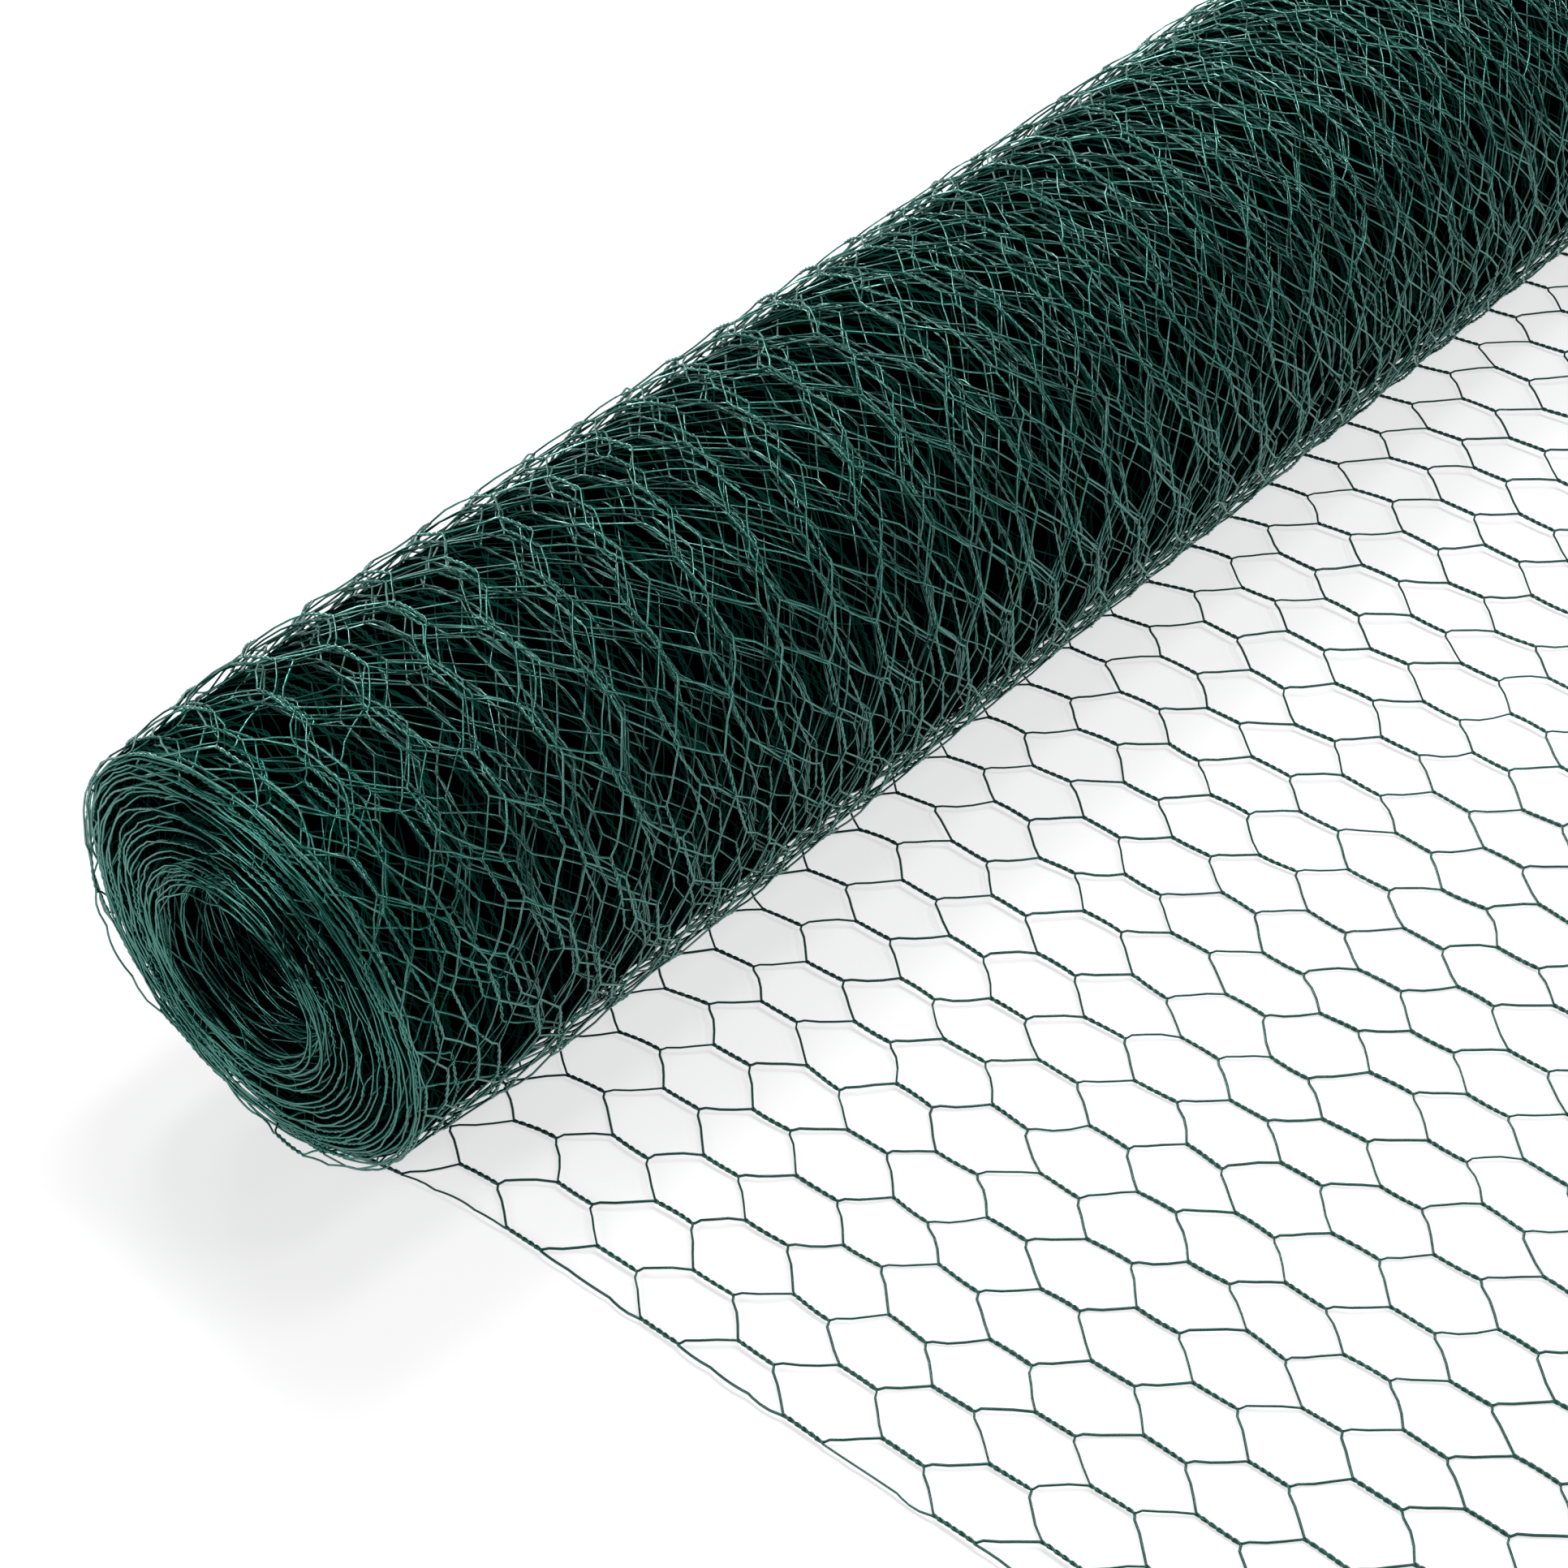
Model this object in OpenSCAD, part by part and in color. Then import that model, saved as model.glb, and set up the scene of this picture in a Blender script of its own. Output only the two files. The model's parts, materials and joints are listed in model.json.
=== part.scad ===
// Roll of hexagonal wire netting, plastic-coated, lying on its side with one length unrolled.
// +X is the way the netting unrolls, +Y runs along the roll's axis and +Z is up.
// The origin is the middle of the whole part's footprint, on the floor.

/* [Netting] */
// Width of the netting, from edge wire to edge wire
net_w = 1000; // [400:10:1500]
// Nominal width of one mesh, across the netting
mesh_w = 25; // [20:1:50]
// Distance from one row of twists to the next, along the netting
row_pitch = 29.7; // [27:0.1:45]
// Length of each twist
twist_l = 16.7; // [10:0.1:22]
// Diameter of the coated wire
wire_d = 0.85; // [0.6:0.05:2]

/* [Roll] */
// Outer diameter of the roll
roll_d = 163; // [140:1:260]
// Diameter of the bore that is left inside the innermost turn
bore_d = 54; // [30:1:90]
// How far the outermost turn draws in towards the axis at the roll's two ends
draw_in = 4.5; // [0.5:0.5:10]
// Length over which it draws in
shoulder_l = 60; // [10:5:150]
// Distance from one turn to the next, across the wound netting
layer_t = 1.9; // [1.5:0.1:4]
// How far the innermost turn stands out past the outermost at the near end
telescope = 10; // [0:1:40]
// How far the roll's outermost turn stands out past the unrolled length at the near end
proud = 17; // [0:1:60]
// Depth of the groove between one turn and the next on the roll's ends
groove_h = 1.2; // [0.5:0.1:3]

/* [Unrolled length] */
// Length unrolled onto the floor, from below the roll's axis
tail_l = 455; // [150:5:1200]
// Distance from below the roll's axis to the first row of twists, at the near edge
row_start = 22; // [20:1:40]
// How much nearer the roll each row lies at the far edge than at the near edge
row_skew = 28; // [0:1:60]

/* [Hidden] */
$fn = 96;

strip_count = 4;        // the unrolled length is split into this many strips, side by side
cut_share = 0.25;       // a strip ends a quarter of a mesh past a row of twists, midway along plain wires
twist_w = 2 * wire_d;   // a twist is two wires side by side
slack = 1;              // how far a cutting shape runs past what it cuts

roll_r = roll_d / 2;
bore_r = bore_d / 2;
end_r = roll_r - draw_in;

columns = round(net_w / mesh_w);
cell_w = (net_w - twist_w) / columns;
turns = round((roll_r - bore_r) / layer_t);
last_row = floor((tail_l - row_start - twist_l) / row_pitch);

// Along X, from below the roll's axis
contact_x = sqrt(pow(roll_r, 2) - pow(roll_r - twist_w / 2, 2));
tail_end_x = row_start + last_row * row_pitch + twist_l;
first_row = floor((contact_x - row_start) / row_pitch) - 1;

// Along Y, from the near edge of the unrolled length
near_y = -proud - telescope;

// From the roll's own place, at its axis and the near edge, to the part's origin
to_origin = [(roll_r - tail_end_x) / 2, -(near_y + net_w) / 2, 0];

// One mesh: half its width, the run of a plain wire along it, and its hole inside the wires
half_cell = cell_w / 2;
plain_run = row_pitch - twist_l;
plain_inset = wire_d / 2 * sqrt(1 / pow(plain_run, 2) + 1 / pow(half_cell, 2));
hole_y = half_cell - twist_w / 2;
hole_x = twist_l / 2 + plain_run * (twist_w / 2 / half_cell - plain_inset);
tip_x = twist_l / 2 + plain_run * (1 - plain_inset);
whole_hole = [[tip_x, 0], [hole_x, hole_y], [-hole_x, hole_y], [-tip_x, 0], [-hole_x, -hole_y], [hole_x, -hole_y]];

// Each row of twists slants a little towards the roll as it crosses the netting
function slanted(points) = [for (p = points) [p[0] - p[1] * row_skew / net_w, p[1]]];

// The two cut ends of the wound netting, at radius r: inner turns stand out at the near end, and sink at the far end
function end_y(r) = near_y + telescope * (r - bore_r) / (end_r - bore_r);

// A ridge for each turn and a groove between two, from the bore out to the last turn
function end_profile(offset, depth) = let (pitch = (end_r - bore_r) / turns)
    [for (i = [0 : 2 * turns]) let (r = bore_r + i * pitch / 2) [r, end_y(r) + offset + (i % 2) * depth]];

function reversed(points) = [for (i = [len(points) - 1 : -1 : 0]) points[i]];

// Where strip number s begins, across the netting
function strip_y(s) = s == 0 ? 0
    : s == strip_count ? net_w
    : twist_w / 2 + cell_w * (round(columns * s / strip_count) + cut_share);

// Where a mesh's centre lies across the netting, in half meshes from the near edge's twists
function cell_y(half_columns) = twist_w / 2 + half_columns * half_cell;

module wound_solid() {
    near = end_profile(0, groove_h);
    far = end_profile(net_w, -groove_h);
    waist = [[roll_r, end_y(end_r) + shoulder_l], [roll_r, end_y(end_r) + net_w - shoulder_l]];
    translate([0, 0, roll_r])
        rotate([-90, 0, 0])
            rotate_extrude() polygon(concat(near, waist, reversed(far)));
}

// One mesh opening. On an edge it is cut off along the straight edge wire.
module hole(row, half_columns) {
    centre = [row_start + row * row_pitch + twist_l / 2, cell_y(half_columns)];
    low = half_columns == 0 ? 0 : -hole_y;
    high = half_columns == 2 * columns ? 0 : hole_y;
    polygon(slanted([for (p = whole_hole) [p[0] + centre[0], max(low, min(high, p[1])) + centre[1]]]));
}

module strip_outline(low_y, high_y) {
    intersection() {
        translate([contact_x, low_y]) square([tail_end_x, high_y - low_y]);
        polygon(slanted([[-roll_r, 0], [tail_end_x, 0], [tail_end_x, net_w], [-roll_r, net_w]]));
    }
}

module tail_strip(s) {
    low_y = strip_y(s - 1);
    high_y = strip_y(s);
    color("#1d5a44") translate(to_origin) difference() {
        linear_extrude(height = twist_w) difference() {
            strip_outline(low_y, high_y);
            for (row = [first_row : last_row], half = [(row % 2 == 0 ? 1 : 0) : 2 : 2 * columns])
                if (cell_y(half) > low_y - half_cell && cell_y(half) < high_y + half_cell) hole(row, half);
        }
        translate([0, low_y - slack, roll_r]) rotate([-90, 0, 0]) cylinder(r = roll_r, h = high_y - low_y + 2 * slack);
    }
}

module roll() color("#14503c") translate(to_origin) wound_solid();

roll();
tail_strip(1);  // tail_strip_1
tail_strip(2);  // tail_strip_2
tail_strip(3);  // tail_strip_3
tail_strip(4);  // tail_strip_4
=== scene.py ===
"""Roll of hexagonal wire netting: green plastic-coated steel wire, wound up and lying on its side,
with one length unrolled flat on the floor.

Every wire of the netting is one curve. It runs the whole length of the sheet, twisted with its left
neighbour in one row and with its right neighbour in the next, and it is wound onto the roll along a spiral.
"""

import json
import math
from functools import partialmethod

import bpy
from mathutils import Matrix, Vector


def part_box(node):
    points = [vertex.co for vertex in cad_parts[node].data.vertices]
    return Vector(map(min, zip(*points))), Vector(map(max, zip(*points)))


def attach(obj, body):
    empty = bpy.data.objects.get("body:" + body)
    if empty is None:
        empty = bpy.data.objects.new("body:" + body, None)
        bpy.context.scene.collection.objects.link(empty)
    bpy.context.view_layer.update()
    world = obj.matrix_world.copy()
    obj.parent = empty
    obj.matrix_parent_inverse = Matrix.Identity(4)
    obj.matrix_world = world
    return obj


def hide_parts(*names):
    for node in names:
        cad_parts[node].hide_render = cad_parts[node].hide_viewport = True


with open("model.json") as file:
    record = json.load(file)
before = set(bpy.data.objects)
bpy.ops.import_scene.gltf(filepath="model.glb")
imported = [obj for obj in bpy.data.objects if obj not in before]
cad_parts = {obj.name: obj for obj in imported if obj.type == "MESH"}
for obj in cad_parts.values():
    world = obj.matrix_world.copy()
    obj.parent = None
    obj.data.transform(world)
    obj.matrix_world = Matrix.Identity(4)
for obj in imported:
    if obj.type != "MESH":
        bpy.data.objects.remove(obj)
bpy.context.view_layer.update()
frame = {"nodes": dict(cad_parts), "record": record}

MM = 0.001

# ---------------------------------------------------------------- sizes, in metres

roll_low, roll_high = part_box("roll")
tail_strips = [name for name in frame["nodes"] if name.startswith("tail_strip")]
strip_boxes = [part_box(name) for name in tail_strips]
bore = next(mount for mount in frame["record"]["mounts"] if mount["name"] == "bore")

ROLL_RADIUS = (roll_high.z - roll_low.z) / 2
AXIS_X = (roll_low.x + roll_high.x) / 2
BORE_RADIUS = bore["dims"]["r_mm"] * MM
WIRE_RADIUS = max(high.z for low, high in strip_boxes) / 4        # a twist is two wires thick
NEAR_EDGE = min(low.y for low, high in strip_boxes)
FAR_EDGE = max(high.y for low, high in strip_boxes)
TAIL_END = max(high.x for low, high in strip_boxes) - AXIS_X      # from below the axis to the cut end
NET_WIDTH = FAR_EDGE - NEAR_EDGE
PROUD_AT_BORE = NEAR_EDGE - roll_low.y

MESH_COLUMNS = 40
MESH_WIDTH = (NET_WIDTH - 4 * WIRE_RADIUS) / MESH_COLUMNS
LAST_WIRE = 2 * MESH_COLUMNS + 1
HALF_TURNS = 6               # of the two wires round each other in one twist
ROW_PITCH = 29.7 * MM
TWIST_LENGTH = 16.7 * MM
SOLD_LENGTH = 10.0
ROWS = int(SOLD_LENGTH / ROW_PITCH)

TELESCOPE = 10 * MM          # how far the innermost turn stands out past the outermost
ROW_SLANT = 28 * MM          # how much nearer the roll a row lies at its far end
THIN = 0.97                  # how thick an unrolled wire is, as a share of the CAD model's bars
SLIM = 0.85                  # and a wound one, whose coat is pressed, as a share of that
LEANING_ROWS = 90            # how many more rows show nothing through them on the side the roll leans to,
PRESSED_ROWS = 45            # and where it rests

OUTER_TURN = ROLL_RADIUS - 2 * WIRE_RADIUS
INNER_TURN = BORE_RADIUS + 2 * WIRE_RADIUS
LAYER = math.pi * (OUTER_TURN ** 2 - INNER_TURN ** 2) / (ROWS * ROW_PITCH - TAIL_END)

# What the netting's node tree takes, by the names of its inputs
SHEET = {
    "Wire Radius": THIN * WIRE_RADIUS,
    "Mesh Width": MESH_WIDTH,
    "Mesh Columns": MESH_COLUMNS,
    "Row Pitch": ROW_PITCH,
    "Twist Length": TWIST_LENGTH,
    "Half Turns": HALF_TURNS,
    "Hook": 0.9 * MM,            # how far a wire overshoots before it turns into the next twist
    "Bow": 1.6 * MM,             # of a plain wire, at its middle
    "Pull": 5 * MM,              # of single meshes out of true
    "Wander": 75 * MM,           # of whole patches of the wound meshes
    "Bunch": 3.5 * MM,           # of neighbouring turns, together
    "Stray": 1.6 * MM,           # of each turn by itself
    "Neck": 26 * MM,             # by which the innermost turns are narrower at each edge
    "Gather": 85 * MM,           # of their meshes towards the edges
    "Edge Drift": 10 * MM,       # of the turns along the roll
    "Ripple": 12 * MM,           # of the unrolled length, off the floor
    "Loose Turn": 0.5 * MM,      # by which the last turn stands off the roll
    "Bulge": 1.6 * MM,           # of the side that the roll leans to
    "Near Edge": NEAR_EDGE,
    "Net Width": NET_WIDTH,
    "Tail End": TAIL_END,
    "Row Slant": ROW_SLANT / NET_WIDTH,
    "Axis X": AXIS_X,
    "Axis Height": ROLL_RADIUS,
    "Outer Turn": OUTER_TURN,
    "Inner Turn": INNER_TURN,
    "Crowding": 0.7,             # share by which the outermost turns lie closer than even ones
    "Pressed": 0.2,              # what that share gains where the roll rests
    "Layer": LAYER,
    "Proud": PROUD_AT_BORE - TELESCOPE,
    "Telescope": TELESCOPE,
    "Draw In": 4.5 * MM,         # of the outer turns at the roll's ends
    "Shoulder": 60 * MM,         # the length over which they draw in
    "Seed": 7,
}
PER_PIECE = ("First Wire", "Wires", "First Row", "Rows", "Twist Segments", "Plain Segments", "Sides")
COUNTED = ("Mesh Columns", "Half Turns", "Seed", *PER_PIECE)

# How wide one patch of each irregularity is
PULL_PATCH = 30 * MM
WANDER_PATCH = 430 * MM
DRIFT_PATCH = 140 * MM
SLACK_PATCH = 70 * MM
RIPPLE_PATCH = 160 * MM
BUNCH_DEPTH = 7 * MM         # and how thick a bunch of turns is
STRAY_PER_RADIAN = 0.5       # how fast the strays change as the sheet goes round

# Where each effect sets in and where it is full, along the sheet from the line below the roll's axis
WANDERS = (-40 * MM, 300 * MM)
PULLED_MORE = (450 * MM, 1000 * MM)
STANDS_PROUD = (-85 * MM, 50 * MM)
DRIFTS = (0.0, 200 * MM)
DRAWS_IN = (0.0, 120 * MM)
STOPS_RIPPLING = (-120 * MM, 0.0)

# The same through the roll, as a share of the way from the outermost turn to the innermost
BUNCHES = (-0.1, 0.3)
DRIFTS_LESS = (0.0, 0.3)
TIGHTENS = (0.7, 0.85)
GATHERS = (0.72, 0.82)
NECKS = (0.9, 1.0)

# The same round the roll, as an angle from the floor
STANDS_OFF = (0.1, 1.0)
LIES_DOWN = (2.4, 3.4)
LEANS = 0.75 * math.pi       # the middle of the side that the roll leans to

# And in from the sheet's edges
COMES_TRUE = 40 * MM
GATHERED_MOST = 110 * MM
GATHERED_FROM = 450 * MM

# Shares, of an effect's full size where nothing else is said
HOOK_START = 0.7             # of the way along a plain wire
HOOK_STEEPNESS = 6.0         # one over the share of the plain wire in which it reaches its full size
POINT_CROWDING = 1.4         # of the points of a plain wire towards its hook
ROLL_CALM = 0.4              # by which the pulls are weaker on the last turn
ROLL_STRESS = 0.9            # and by which they are stronger on the turns below it
EDGE_PULL = 0.3              # of the pull, at the sheet's edges
OUTER_DRIFT = 1.8            # of the drift, on the last turn
TIGHTENING = 0.6             # by which the turns round the bore are less slack
RESTING_SLACK = 0.25         # of the slack, where the roll rests
RIPPLE_LEVEL = 0.4           # the share of the noise that lies on the floor


# ---------------------------------------------------------------- small tools

def add(tree, kind, inputs=None, **settings):
    """Adds one node, with its settings, and its input values or links by socket name or number."""
    node = tree.nodes.new(kind)
    for key, value in settings.items():
        setattr(node, key, value)
    for key, value in (inputs or {}).items():
        value = getattr(value, "socket", value)
        if isinstance(value, bpy.types.NodeSocket):
            tree.links.new(value, node.inputs[key])
        else:
            node.inputs[key].default_value = value
    return node


class Number:
    """A number inside a node tree. Arithmetic on it adds Math nodes, so a formula reads as a formula."""

    def __init__(self, tree, socket):
        self.tree = tree
        self.socket = socket

    def worked(self, operation, *others):
        """What a Math node makes of this number and the others."""
        inputs = dict(enumerate((self, *others)))
        return Number(self.tree, add(self.tree, "ShaderNodeMath", inputs, operation=operation).outputs[0])

    __add__ = partialmethod(worked, "ADD")
    __sub__ = partialmethod(worked, "SUBTRACT")
    __mul__ = partialmethod(worked, "MULTIPLY")
    __rmul__ = partialmethod(worked, "MULTIPLY")
    __truediv__ = partialmethod(worked, "DIVIDE")
    __pow__ = partialmethod(worked, "POWER")
    floor = partialmethod(worked, "FLOOR")
    sqrt = partialmethod(worked, "SQRT")
    sin = partialmethod(worked, "SINE")
    cos = partialmethod(worked, "COSINE")
    turn_from = partialmethod(worked, "ARCTAN2")
    sign = partialmethod(worked, "SIGN")
    absolute = partialmethod(worked, "ABSOLUTE")
    mod = partialmethod(worked, "FLOORED_MODULO")
    least = partialmethod(worked, "MINIMUM")
    most = partialmethod(worked, "MAXIMUM")
    above = partialmethod(worked, "GREATER_THAN")
    below = partialmethod(worked, "LESS_THAN")

    def __rsub__(self, other):
        return self.worked("MULTIPLY_ADD", -1.0, other)

    def __rtruediv__(self, other):
        return other * self ** -1.0

    def clamp(self):
        return self.most(0.0).least(1.0)

    def smooth(self, start, end):
        """0 up to start, 1 from end on, and a smooth step between them."""
        t = ((self - start) / (end - start)).clamp()
        return t * t * (3.0 - 2.0 * t)

    def to(self, other, share):
        """Part of the way from this number to another."""
        return self + (other - self) * share


def centred(tree, texture):
    """The first value of a noise texture, as a number about zero."""
    return Number(tree, texture.outputs[0]) - 0.5


def spread(tree, texture):
    """The three channels of a noise texture's colour, as numbers about zero."""
    channels = add(tree, "ShaderNodeSeparateXYZ", {0: texture.outputs["Color"]}).outputs
    return [Number(tree, channel) - 0.5 for channel in channels]


def srgb(code):
    """A linear RGBA colour from an sRGB hex code."""
    channels = [int(code[i:i + 2], 16) / 255 for i in (1, 3, 5)]
    return [c / 12.92 if c <= 0.04045 else ((c + 0.055) / 1.055) ** 2.4 for c in channels] + [1.0]


# ---------------------------------------------------------------- materials

def coated_wire(name, darker, lighter, gloss=1.0, glint="#bafff3"):
    """PVC-coated galvanised steel wire, the coat extruded: a smooth, semi-gloss, dark green plastic skin.
    It gives a narrow pale glint along every wire, and its green varies a little from place to place.
    It reflects more than plain PVC does, so that the glint still shows on a wire this thin."""
    patch = 40 * MM
    grain_size = 0.6 * MM        # coarser than the real coat's, so that it shows
    grain_depth = 0.1 * MM

    material = bpy.data.materials.new(name)
    material.use_nodes = True
    tree = material.node_tree
    shader = tree.nodes["Principled BSDF"]
    place = add(tree, "ShaderNodeTexCoord").outputs["Object"]
    patches = add(tree, "ShaderNodeTexNoise", {"Vector": place, "Scale": 1 / patch, "Detail": 3.0})
    colour = add(tree, "ShaderNodeMix", {"Factor": patches.outputs[0]}, data_type="RGBA")
    colour.inputs["A"].default_value = srgb(darker)
    colour.inputs["B"].default_value = srgb(lighter)
    grain = add(tree, "ShaderNodeTexNoise", {"Vector": place, "Scale": 1 / grain_size, "Detail": 2.0})
    bump = add(tree, "ShaderNodeBump",
               {"Height": grain.outputs[0], "Strength": 0.08, "Distance": grain_depth})
    tree.links.new(colour.outputs["Result"], shader.inputs["Base Color"])
    tree.links.new(bump.outputs["Normal"], shader.inputs["Normal"])
    shader.inputs["Roughness"].default_value = 0.26
    shader.inputs["IOR"].default_value = 2.0
    shader.inputs["Specular IOR Level"].default_value = gloss
    shader.inputs["Specular Tint"].default_value = srgb(glint)
    return material


def deep_turns():
    """The netting's deep turns, in colour: the same coated wire, layer behind layer, each layer darker than
    the one in front and black in the gaps between the wires, which is painted shade, and each wire brightest
    along its middle, which is a painted highlight.
    It has no gloss, because hardly any light gets down there."""
    rows_around = 12
    layer_pairs = 4
    half_wire = 0.4 * MM
    # Painted shade: each layer is darker than the one in front of it
    painted_dimming = 0.85               # of each layer against the one in front of it
    row_step = 0.37              # from one layer to the next, as a share of a row
    column_step = 0.29           # and of a mesh
    pulled = 0.8                 # the range over which rows and meshes are pulled, as a share of one
    pull_patch = 50 * MM
    pull_apart = 5.0             # in the noise, from one pair of layers to the next, so they share nothing
    gap_depth = 0.6 * MM
    twist_share = TWIST_LENGTH / ROW_PITCH

    material = bpy.data.materials.new("deep turns of coated wire, painted shade and highlight")
    material.use_nodes = True
    tree = material.node_tree
    shader = tree.nodes["Principled BSDF"]
    place = add(tree, "ShaderNodeTexCoord").outputs["Object"]
    x, y, z = (Number(tree, part) for part in add(tree, "ShaderNodeSeparateXYZ", {0: place}).outputs)
    x = x - AXIS_X
    z = z - ROLL_RADIUS
    round_place = x.turn_from(z) / (2 * math.pi) * rows_around
    across = (y + (x * x + z * z).sqrt()) / MESH_WIDTH
    wires_and_painted_shade = Number(tree, 0.0)
    for pair in range(layer_pairs):
        noise = {"Vector": place, "W": pull_apart * pair, "Scale": 1 / pull_patch, "Detail": 0.0}
        pull = spread(tree, add(tree, "ShaderNodeTexNoise", noise, noise_dimensions="4D"))
        for layer, (round_pull, across_pull) in ((2 * pair, pull[:2]), (2 * pair + 1, pull[1:])):
            rows = round_place + row_step * layer + round_pull * pulled
            row = rows.floor()
            twisted = ((rows - row) / twist_share).least(1.0)
            plain = ((rows - row - twist_share) / (1 - twist_share)).most(0.0)
            columns = across + across_pull * pulled + column_step * layer + row * 0.5
            off_twist = (columns.mod(1.0) - 0.5).absolute()
            strands = (twisted * math.pi * HALF_TURNS).sin().absolute() * WIRE_RADIUS
            off_wire = ((off_twist - plain * 0.5) * MESH_WIDTH - strands).absolute()
            # Each wire is brightest along its middle and dims to its sides: a painted highlight
            highlit_wire = 1.0 - (off_wire / half_wire).least(1.0)
            wires_and_painted_shade = wires_and_painted_shade.most(highlit_wire * painted_dimming ** layer)
    # Black in the gaps, and wires dimmer layer by layer: painted shade of the deep turns
    colour = add(tree, "ShaderNodeMix", {"Factor": wires_and_painted_shade}, data_type="RGBA")
    colour.inputs["A"].default_value = srgb("#000101")
    colour.inputs["B"].default_value = srgb("#1c5c50")
    bump = add(tree, "ShaderNodeBump", {"Height": wires_and_painted_shade, "Strength": 0.8, "Distance": gap_depth})
    tree.links.new(colour.outputs["Result"], shader.inputs["Base Color"])
    tree.links.new(bump.outputs["Normal"], shader.inputs["Normal"])
    shader.inputs["Roughness"].default_value = 0.5
    shader.inputs["Specular IOR Level"].default_value = 0.0
    return material


# ---------------------------------------------------------------- the turns too deep to make wire by wire

def turn_radius(row, raised):
    """The radius of the turn that a row is wound on, at a height from 0, the floor, to 1, the top."""
    even = math.sqrt(OUTER_TURN ** 2 - LAYER / math.pi * (row * ROW_PITCH - TAIL_END))
    depth = (OUTER_TURN - even) / (OUTER_TURN - INNER_TURN)
    crowding = SHEET["Crowding"] + SHEET["Pressed"] * (1 - raised)
    crowded = depth - crowding * depth * (1 - depth) ** 2
    return OUTER_TURN - (OUTER_TURN - INNER_TURN) * crowded


def wound_core(first_row, last_row, recess):
    """The turns between two rows as one closed ring, which blocks the light as they do.
    Its ends stay behind the edges of the turns by the recess."""
    around = 96
    points = []
    for step in range(around):
        turn = 2 * math.pi * step / around
        raised = (1 + math.cos(turn)) / 2
        leaning = (1 - math.sin(turn)) / 2
        packed = LEANING_ROWS * leaning ** 2 + PRESSED_ROWS * (1 - raised)
        outside = turn_radius(first_row - packed, raised)
        inside = turn_radius(last_row, raised)
        near_outside, near_inside = (
            roll_low.y + recess + TELESCOPE * (radius - INNER_TURN) / (OUTER_TURN - INNER_TURN)
            for radius in (outside, inside))
        far_outside = roll_high.y - recess
        far_inside = far_outside - TELESCOPE
        for radius, y in ((inside, near_inside), (outside, near_outside),
                          (outside, far_outside), (inside, far_inside)):
            points.append((AXIS_X + radius * math.sin(turn), y, ROLL_RADIUS + radius * math.cos(turn)))
    faces = []
    for step in range(around):
        here = 4 * step
        after = 4 * ((step + 1) % around)
        for side in range(4):
            next_side = (side + 1) % 4
            faces.append((here + side, here + next_side, after + next_side, after + side))
    mesh = bpy.data.meshes.new("wound_core")
    mesh.from_pydata(points, [], faces)
    # The ring's material paints the deep turns' wires, with painted shade in their gaps and deeper layers
    mesh.materials.append(deep_turns())
    core = bpy.data.objects.new("wound_core", mesh)
    bpy.context.scene.collection.objects.link(core)
    return core


# ---------------------------------------------------------------- the netting

def wire_points(tree, size):
    """The points of all the wires, and for each one its strand, wire and row, and how far it has come
    through the row's twist and then along the plain wire to the next."""
    per_row = size["Twist Segments"] + size["Plain Segments"]
    per_wire = size["Rows"] * per_row + 1.0
    points = add(tree, "GeometryNodePoints", {"Count": size["Wires"] * per_wire}).outputs[0]
    index = Number(tree, add(tree, "GeometryNodeInputIndex").outputs[0])
    strand = ((index + 0.5) / per_wire).floor()
    wire = strand + size["First Wire"]
    step = index - strand * per_wire
    row_here = ((step + 0.5) / per_row).floor()
    row = row_here + size["First Row"]
    step = step - row_here * per_row
    twisted = (step / size["Twist Segments"]).least(1.0)
    plain = ((step - size["Twist Segments"]) / size["Plain Segments"]).most(0.0)
    plain = 1.0 - (1.0 - plain) ** POINT_CROWDING
    return points, strand, wire, row, twisted, plain


def flat_place(tree, size, wire, row, twisted, plain):
    """Where a point lies in the flat sheet: along it from its cut end, across it, and off it."""
    # An even wire is twisted with its left neighbour in odd rows, an odd one in even rows
    odd_wire = wire.mod(2.0)
    odd_row = row.mod(2.0)
    edge = wire.below(0.5) + wire.above(2.0 * size["Mesh Columns"] + 0.5)
    at_even = (wire / 2.0).floor()
    at_odd = (((wire - 1.0) / 2.0).floor() + 0.5).most(0.0).least(size["Mesh Columns"])
    side_even = 2.0 * odd_wire - 1.0
    side_odd = side_even * (2.0 * edge - 1.0)
    turn = math.pi * size["Half Turns"] * twisted * (1.0 - edge * odd_row)
    side = side_even.to(side_odd, odd_row) * size["Wire Radius"]
    next_side = side_odd.to(side_even, odd_row) * size["Wire Radius"]
    centre = at_even.to(at_odd, odd_row) * size["Mesh Width"]
    next_centre = at_odd.to(at_even, odd_row) * size["Mesh Width"]
    across = (centre + side * turn.cos()).to(next_centre + next_side, plain) + 2.0 * size["Wire Radius"]
    lift = side * turn.sin()

    # Each wire makes a small hook where it enters the next twist
    along = row * size["Row Pitch"] + twisted * size["Twist Length"]
    along = along + plain * (size["Row Pitch"] - size["Twist Length"])
    along = along + size["Hook"] * ((plain - HOOK_START) * HOOK_STEEPNESS).clamp() * (1.0 - edge)

    # Each plain wire bows a little by itself, and so does an edge wire where it has no neighbour
    strand_place = add(tree, "ShaderNodeCombineXYZ", {0: wire, 1: row, 2: size["Seed"]}).outputs[0]
    bow = spread(tree, add(tree, "ShaderNodeTexWhiteNoise", {"Vector": strand_place}))
    free = (plain * (1.0 - plain) + edge * odd_row * twisted * (1.0 - twisted)) * 4.0 * size["Bow"]
    return along + bow[0] * free, across + bow[1] * free, lift + bow[2] * free


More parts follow.
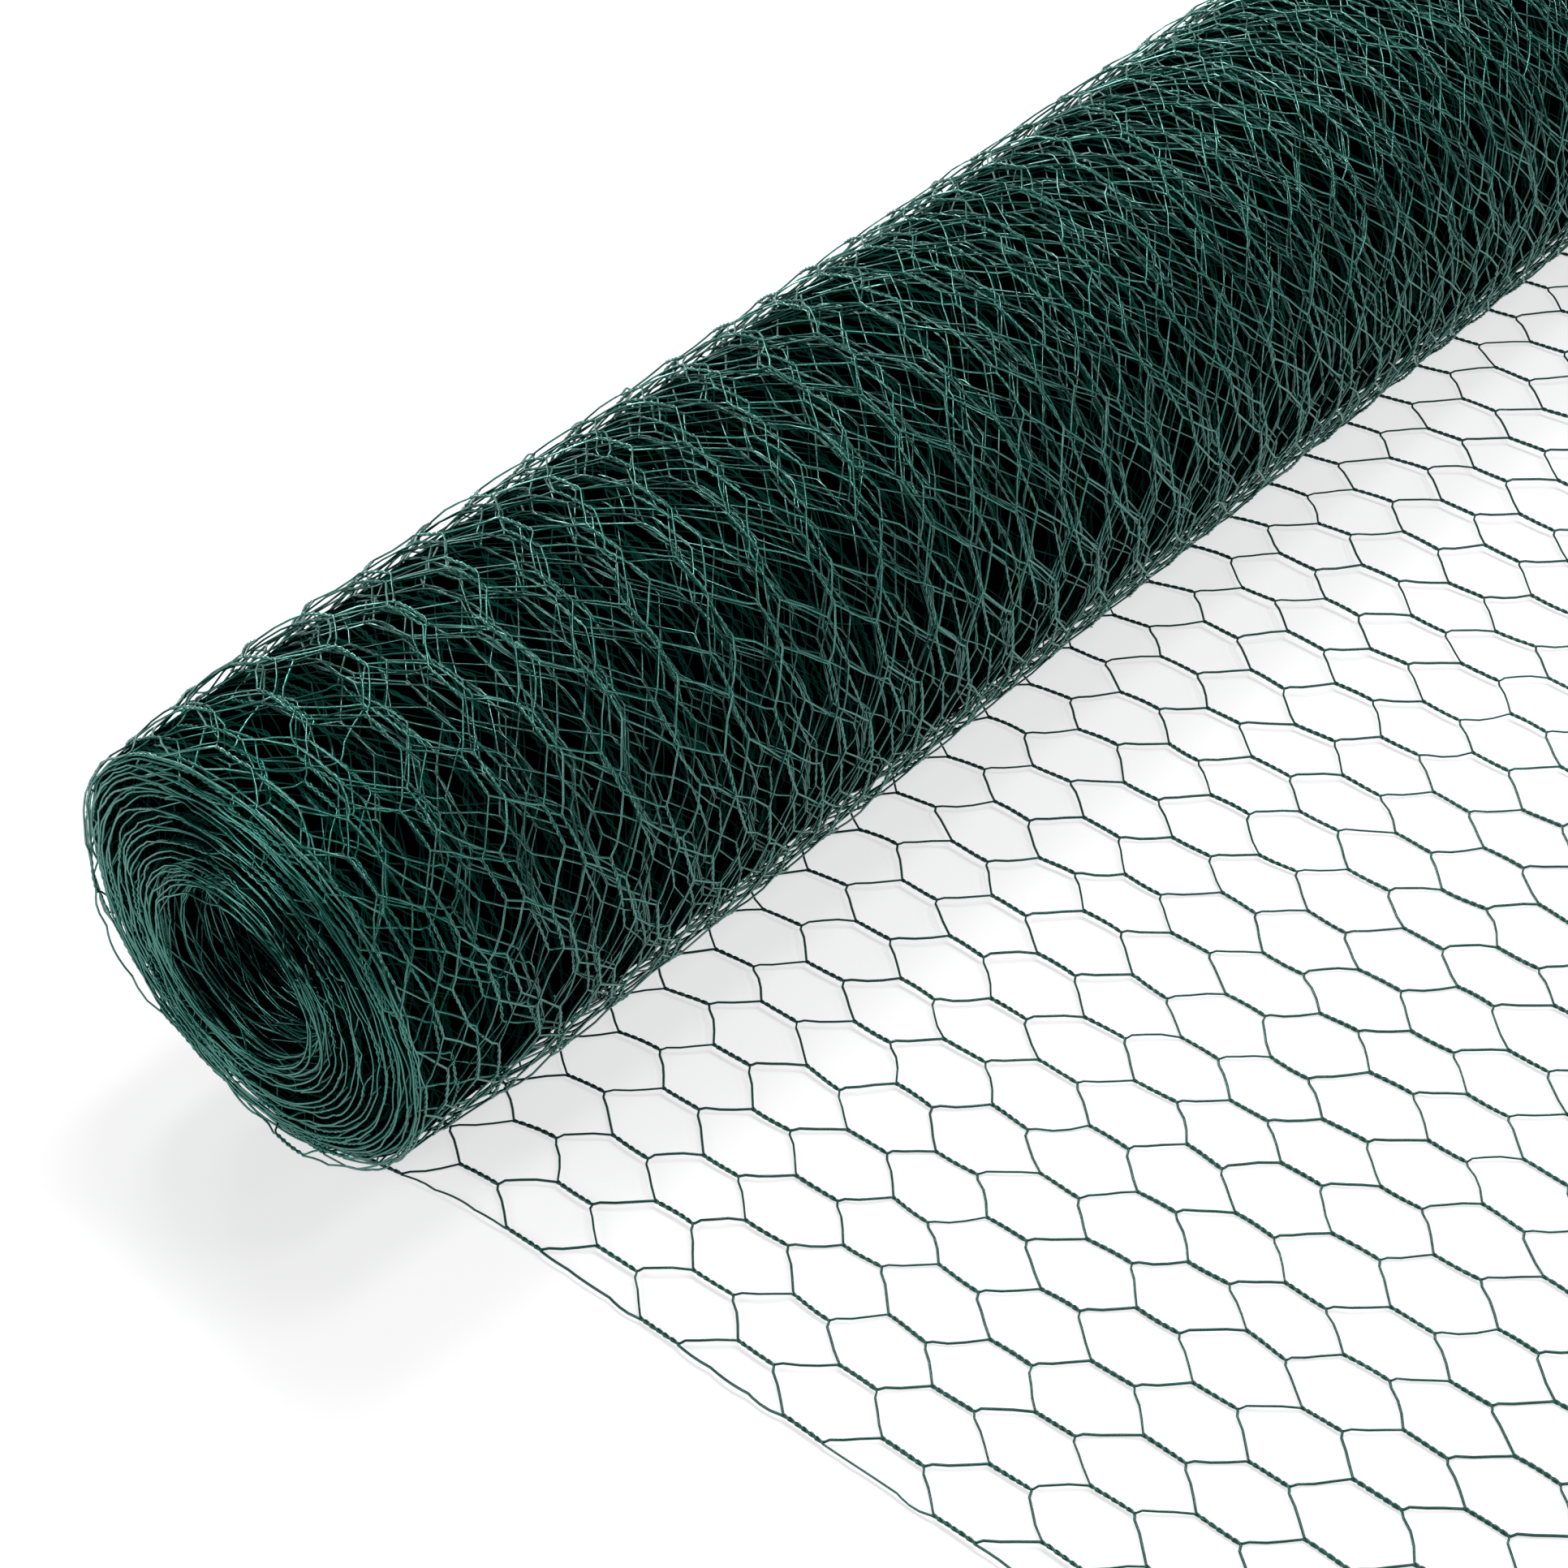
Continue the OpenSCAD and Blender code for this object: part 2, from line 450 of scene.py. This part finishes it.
def pulled_place(tree, size, along, across, sheet_place):
    """Where the pulls leave a point: how far it is wound past the line below the roll's axis, and how far
    it moves sideways. Meshes are pulled a little everywhere, and farther where the sheet is wound."""
    wound = along + across * size["Row Slant"] - size["Tail End"]
    on_roll = wound.smooth(*WANDERS)
    in_roll = wound.smooth(*PULLED_MORE)
    pull, wander = (
        spread(tree, add(tree, "ShaderNodeTexNoise",
                         {"Vector": sheet_place, "Scale": 1 / patch, "Detail": 0.0}))
        for patch in (PULL_PATCH, WANDER_PATCH))
    inside = (across / COMES_TRUE).clamp() * ((size["Net Width"] - across) / COMES_TRUE).clamp()
    pulled = size["Pull"] * (1.0 - ROLL_CALM * on_roll + ROLL_STRESS * in_roll)
    wandered = size["Wander"] * on_roll
    wound = wound + pull[0] * pulled + wander[0] * wandered
    sideways = pull[1] * pulled * inside.most(EDGE_PULL) + wander[1] * wandered * inside
    return wound, sideways


def wound_turn(size, wound):
    """The turn that a point is wound on: its angle from below the axis, its depth from 0, the outermost
    turn, to 1, the innermost, its radius, and how high it is, from 0, the floor, to 1, the top."""
    growth = size["Layer"] / (2 * math.pi)
    outer = size["Outer Turn"]
    even = (outer * outer - 2.0 * growth * wound.most(0.0)).sqrt()
    angle = (outer - even) / growth
    depth = (outer - even) / (outer - size["Inner Turn"])
    # The turns lie closer together at the outside of the roll, and most of all where it rests
    raised = (1.0 - angle.cos()) * 0.5
    crowding = size["Crowding"] + size["Pressed"] * (1.0 - raised)
    crowded = depth - crowding * depth * (1.0 - depth) ** 2.0
    radius = outer - (outer - size["Inner Turn"]) * crowded
    return angle, depth, radius, raised


def shift_along_roll(tree, size, across, wound, depth):
    """How far a point moves towards the roll's near end: the turns slide out towards the bore, and drift."""
    drift = add(tree, "ShaderNodeTexNoise", {"W": wound, "Scale": 1 / DRIFT_PATCH, "Detail": 1.0},
                noise_dimensions="1D")
    drift = centred(tree, drift) * size["Edge Drift"] * (OUTER_DRIFT - depth.smooth(*DRIFTS_LESS))
    shift = size["Proud"] * wound.smooth(*STANDS_PROUD) + size["Telescope"] * depth
    shift = shift + drift * wound.smooth(*DRIFTS)

    # The start of the sheet was pulled tight: the innermost turns are narrower and step back inside the
    # bore, and their meshes are gathered towards the edges
    from_middle = across / size["Net Width"] * 2.0 - 1.0
    from_edge = across.least(size["Net Width"] - across)
    gathered = (from_edge / GATHERED_MOST).clamp() * (1.0 - from_edge.smooth(GATHERED_MOST, GATHERED_FROM))
    necked = from_middle * size["Neck"] * depth.smooth(*NECKS)
    necked = necked - from_middle.sign() * gathered * size["Gather"] * depth.smooth(*GATHERS)
    return shift + necked


def slack_radius(tree, size, across, wound, angle, depth, radius, raised):
    """The radius of a point once its turn is slack."""
    # The outer turns draw in at the roll's ends
    end_near = 1.0 - across.smooth(0.0, size["Shoulder"])
    end_far = across.smooth(size["Net Width"] - size["Shoulder"], size["Net Width"])
    draw = (end_near + end_far) * size["Draw In"] * (1.0 - depth) * wound.smooth(*DRAWS_IN)

    # The turns are slack, more at the top than where the roll's weight presses them, and the outermost
    # least: they bunch up in places and leave gaps in others
    round_place = {0: angle.sin() * radius, 1: across, 2: angle.cos() * radius}
    round_place = add(tree, "ShaderNodeCombineXYZ", round_place).outputs[0]
    bunch, stray = (
        centred(tree, add(tree, "ShaderNodeTexNoise",
                          {"Vector": round_place, "W": which, "Scale": 1 / SLACK_PATCH, "Detail": 0.0},
                          noise_dimensions="4D"))
        for which in (radius / BUNCH_DEPTH, angle * STRAY_PER_RADIAN))
    slack = bunch * size["Bunch"] * depth.smooth(*BUNCHES) * (1.0 - TIGHTENING * depth.smooth(*TIGHTENS))
    slack = slack + stray * size["Stray"]

    # The last turn stands off a little where it leaves the floor, and the side that the roll leans to,
    # away from the unrolled length, bulges
    loose = angle.smooth(*STANDS_OFF) * (1.0 - angle.smooth(*LIES_DOWN))
    radius = radius - draw + slack * raised.most(RESTING_SLACK) + loose * size["Loose Turn"]
    return radius + (angle - LEANS).cos().most(0.0) * (1.0 - depth) * size["Bulge"]


def wound_place(tree, size, along, across, lift):
    """Where a point of the flat sheet lies once the sheet is wound up."""
    sheet_place = add(tree, "ShaderNodeCombineXYZ", {0: along, 1: across, 2: size["Seed"]}).outputs[0]
    wound, sideways = pulled_place(tree, size, along, across, sheet_place)
    angle, depth, radius, raised = wound_turn(size, wound)
    shift = shift_along_roll(tree, size, across, wound, depth)
    reach = slack_radius(tree, size, across, wound, angle, depth, radius, raised) + lift

    # The unrolled length ripples a little above the floor
    ripple = add(tree, "ShaderNodeTexNoise",
                 {"Vector": sheet_place, "Scale": 1 / RIPPLE_PATCH, "Detail": 1.0})
    ripple = (Number(tree, ripple.outputs[0]) - RIPPLE_LEVEL).most(0.0) * size["Ripple"]
    ripple = ripple * (1.0 - wound.smooth(*STOPS_RIPPLING))

    x = size["Axis X"] - reach * angle.sin() - wound.least(0.0)
    y = size["Near Edge"] + across + sideways - shift
    z = (size["Axis Height"] - reach * angle.cos() + ripple).most(size["Wire Radius"])
    return add(tree, "ShaderNodeCombineXYZ", {0: x, 1: y, 2: z}).outputs[0]


def netting_tree(material):
    """The node tree that makes some wires of the netting, over some rows, from the sheet's sizes."""
    tree = bpy.data.node_groups.new("netting wires", "GeometryNodeTree")
    for name in (*SHEET, *PER_PIECE):
        kind = "NodeSocketInt" if name in COUNTED else "NodeSocketFloat"
        tree.interface.new_socket(name, in_out="INPUT", socket_type=kind)
    tree.interface.new_socket("Wires", in_out="OUTPUT", socket_type="NodeSocketGeometry")
    sizes = add(tree, "NodeGroupInput").outputs
    size = {name: Number(tree, sizes[name]) for name in (*SHEET, *PER_PIECE)}

    points, strand, *step = wire_points(tree, size)
    place = wound_place(tree, size, *flat_place(tree, size, *step))
    placed = add(tree, "GeometryNodeSetPosition", {"Geometry": points, "Position": place}).outputs[0]
    curves = add(tree, "GeometryNodePointsToCurves", {"Points": placed, "Curve Group ID": strand}).outputs[0]

    # A tube of few sides is as thick as the round wire when its outline is as long as the wire's
    corner_radius = size["Wire Radius"] * math.pi / (size["Sides"] * (math.pi / size["Sides"]).sin())
    ring = add(tree, "GeometryNodeCurvePrimitiveCircle",
               {"Resolution": size["Sides"], "Radius": corner_radius}).outputs[0]
    tubes = add(tree, "GeometryNodeCurveToMesh",
                {"Curve": curves, "Profile Curve": ring, "Fill Caps": True}).outputs[0]
    shaded = add(tree, "GeometryNodeSetShadeSmooth", {"Geometry": tubes}).outputs[0]
    real = add(tree, "GeometryNodeRealizeInstances", {"Geometry": shaded}).outputs[0]
    painted = add(tree, "GeometryNodeSetMaterial", {"Geometry": real, "Material": material}).outputs[0]
    add(tree, "NodeGroupOutput", {"Wires": painted})
    return tree


def netting_piece(tree, name, wires, rows, twist_segments, plain_segments, sides, thickness=SLIM):
    """One piece of the netting, as a plain mesh: a range of wires over a range of rows."""
    maker = bpy.data.objects.new(name + " maker", bpy.data.meshes.new(name + " maker"))
    bpy.context.scene.collection.objects.link(maker)
    modifier = maker.modifiers.new("netting", "NODES")
    modifier.node_group = tree
    values = {
        **SHEET,
        "Wire Radius": SHEET["Wire Radius"] * thickness,
        "First Wire": wires[0],
        "Wires": wires[1] - wires[0] + 1,
        "First Row": rows[0],
        "Rows": rows[1] - rows[0],
        "Twist Segments": twist_segments,
        "Plain Segments": plain_segments,
        "Sides": sides,
    }
    for item in tree.interface.items_tree:
        if item.in_out == "INPUT":
            modifier[item.identifier] = values[item.name]
    made = maker.evaluated_get(bpy.context.evaluated_depsgraph_get())
    mesh = bpy.data.meshes.new_from_object(made)
    piece = bpy.data.objects.new(name, mesh)
    bpy.context.scene.collection.objects.link(piece)
    bpy.data.objects.remove(maker)
    mesh.name = name
    return piece


def netting():
    """The whole netting, finest where it shows most. Each piece stands for the solids that it replaces."""
    flat = netting_tree(coated_wire("pvc coated wire, unrolled", "#173f38", "#1f574e", gloss=0.3))
    outer = netting_tree(coated_wire("pvc coated wire, outer turns", "#0b4a40", "#11695b"))
    # The inner turns' copy is darker than the outer turns', and the bore turns' darker still: painted shade,
    # for the light that does not reach that deep
    inner = netting_tree(coated_wire("pvc coated wire, inner turns, painted shade", "#07332c", "#0b473e"))
    innermost = netting_tree(
        coated_wire("pvc coated wire, bore turns, painted shade", "#04221d", "#062e27", gloss=0.8, glint="#a0fff0"))
    edges = netting_tree(coated_wire("pvc coated wire, edges", "#0b4a40", "#11695b", glint="#a0fff0"))

    # The first and last wire of a piece: those at the sheet's edges show at every turn, the rest only
    # on the outer turns and in the bore
    edge_wires = 4
    every = (0, LAST_WIRE)
    between = (edge_wires, LAST_WIRE - edge_wires)
    near = (0, edge_wires - 1)
    far = (LAST_WIRE - edge_wires + 1, LAST_WIRE)

    # Its rows, counted from the cut end. 17 of them lie on the floor, and the first turns take 17 each
    on_floor = (0, 17)
    first_turn = (17, 34)
    second_turn = (34, 51)
    next_turns = (51, 85)
    middle_turns = (85, 162)
    bore_turns = (296, ROWS)
    from_third_turn = (51, ROWS)
    hidden_rows = (160, 296)

    # And last how many segments a twist and a plain wire have, and how many sides
    pieces = [
        netting_piece(flat, "unrolled_netting", every, on_floor, 12, 4, 4, thickness=1.0),
        netting_piece(outer, "first_turn", every, first_turn, 12, 3, 3),
        netting_piece(outer, "second_turn", every, second_turn, 9, 3, 3),
        netting_piece(inner, "next_turns", between, next_turns, 6, 2, 3),
        netting_piece(inner, "middle_turns", between, middle_turns, 4, 1, 3),
        netting_piece(innermost, "bore_turns", between, bore_turns, 6, 1, 3),
        netting_piece(edges, "near_edge_wires", near, from_third_turn, 6, 4, 3),
        netting_piece(edges, "far_edge_wires", far, from_third_turn, 4, 2, 3),
        wound_core(*hidden_rows, recess=4 * MM),
    ]
    for piece in pieces:
        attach(piece, "root")
    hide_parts(*tail_strips)
    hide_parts("roll")


# ---------------------------------------------------------------- floor, light and camera

VIEW_TARGET = Vector((-178.4, -273.0, 0.0)) * MM
VIEW_DISTANCE = 1341.1 * MM
VIEW_AZIMUTH = math.radians(-45.27)     # from +Y towards +X
VIEW_ELEVATION = math.radians(41.41)
VIEW_ROLL = math.radians(-4.66)
LENS = 86.31

FLOOR_SIZE = 60.0
FLOOR_GLOW = 0.67                       # as seen by the camera and in reflections

ARCH_RADIUS = 2.03
ARCH_CENTRE = Vector((-0.15, 0.42, 0.0))
ARCH_AIM = Vector((-0.15, -0.1, 0.0))
ARCH_LAMPS = {-65: 10, -40: 12, -15: 12, 10: 11, 35: 9, 60: 4}      # power at each lean from upright
WORLD_STRENGTH = 0.06


def camera():
    """The camera, turned about its own line of sight by the view's roll."""
    forward = Vector((math.sin(VIEW_AZIMUTH) * math.cos(VIEW_ELEVATION),
                      math.cos(VIEW_AZIMUTH) * math.cos(VIEW_ELEVATION),
                      -math.sin(VIEW_ELEVATION)))
    level = forward.cross(Vector((0, 0, 1))).normalized()
    right = Matrix.Rotation(-VIEW_ROLL, 3, forward) @ level
    up = right.cross(forward)
    data = bpy.data.cameras.new("camera")
    data.lens = LENS
    data.sensor_width = 36
    data.clip_start = 0.01
    seen_from = bpy.data.objects.new("camera", data)
    bpy.context.scene.collection.objects.link(seen_from)
    turned = Matrix((right, up, -forward)).transposed().to_4x4()
    turned.translation = VIEW_TARGET - forward * VIEW_DISTANCE
    seen_from.matrix_world = turned
    bpy.context.scene.camera = seen_from


def floor():
    """A plain white floor. It reads as white paper to the camera and in reflections, with its shadows."""
    half = FLOOR_SIZE / 2
    corners = [(-half, -half, 0), (half, -half, 0), (half, half, 0), (-half, half, 0)]
    mesh = bpy.data.meshes.new("floor")
    mesh.from_pydata(corners, [], [(0, 1, 2, 3)])
    ground = bpy.data.objects.new("floor", mesh)
    bpy.context.scene.collection.objects.link(ground)
    material = bpy.data.materials.new("white floor")
    material.use_nodes = True
    tree = material.node_tree
    shader = tree.nodes["Principled BSDF"]
    shader.inputs["Base Color"].default_value = srgb("#afafaf")
    shader.inputs["Roughness"].default_value = 0.8
    shader.inputs["Emission Color"].default_value = (1, 1, 1, 1)
    ray = add(tree, "ShaderNodeLightPath").outputs
    seen = Number(tree, ray["Is Camera Ray"]).most(Number(tree, ray["Is Glossy Ray"]))
    seen = seen.most(Number(tree, ray["Is Transmission Ray"]))
    tree.links.new((FLOOR_GLOW * seen).socket, shader.inputs["Emission Strength"])
    mesh.materials.append(material)


def square_lamp(name, place, aim, side, power):
    """A square area lamp that faces a point."""
    data = bpy.data.lights.new(name, "AREA")
    data.size = side
    data.energy = power
    lamp = bpy.data.objects.new(name, data)
    bpy.context.scene.collection.objects.link(lamp)
    lamp.location = place
    lamp.rotation_euler = (Vector(aim) - Vector(place)).to_track_quat("-Z", "Y").to_euler()


def light():
    """An arch of lamps over the roll, from low on its left to low on its right, and a soft one in front."""
    world = bpy.data.worlds.new("studio")
    bpy.context.scene.world = world
    world.use_nodes = True
    background = world.node_tree.nodes["Background"]
    background.inputs["Color"].default_value = (1, 1, 1, 1)
    background.inputs["Strength"].default_value = WORLD_STRENGTH
    for lean, power in ARCH_LAMPS.items():
        lean = math.radians(lean)
        place = ARCH_CENTRE + ARCH_RADIUS * Vector((math.sin(lean), 0, math.cos(lean)))
        square_lamp("arch lamp", place, ARCH_AIM, side=0.4, power=power)
    square_lamp("front fill", (-0.5, -1.7, 1.0), (-0.15, -0.4, 0), side=0.8, power=8)


bpy.context.scene.view_settings.view_transform = "Standard"
camera()
floor()
light()
netting()
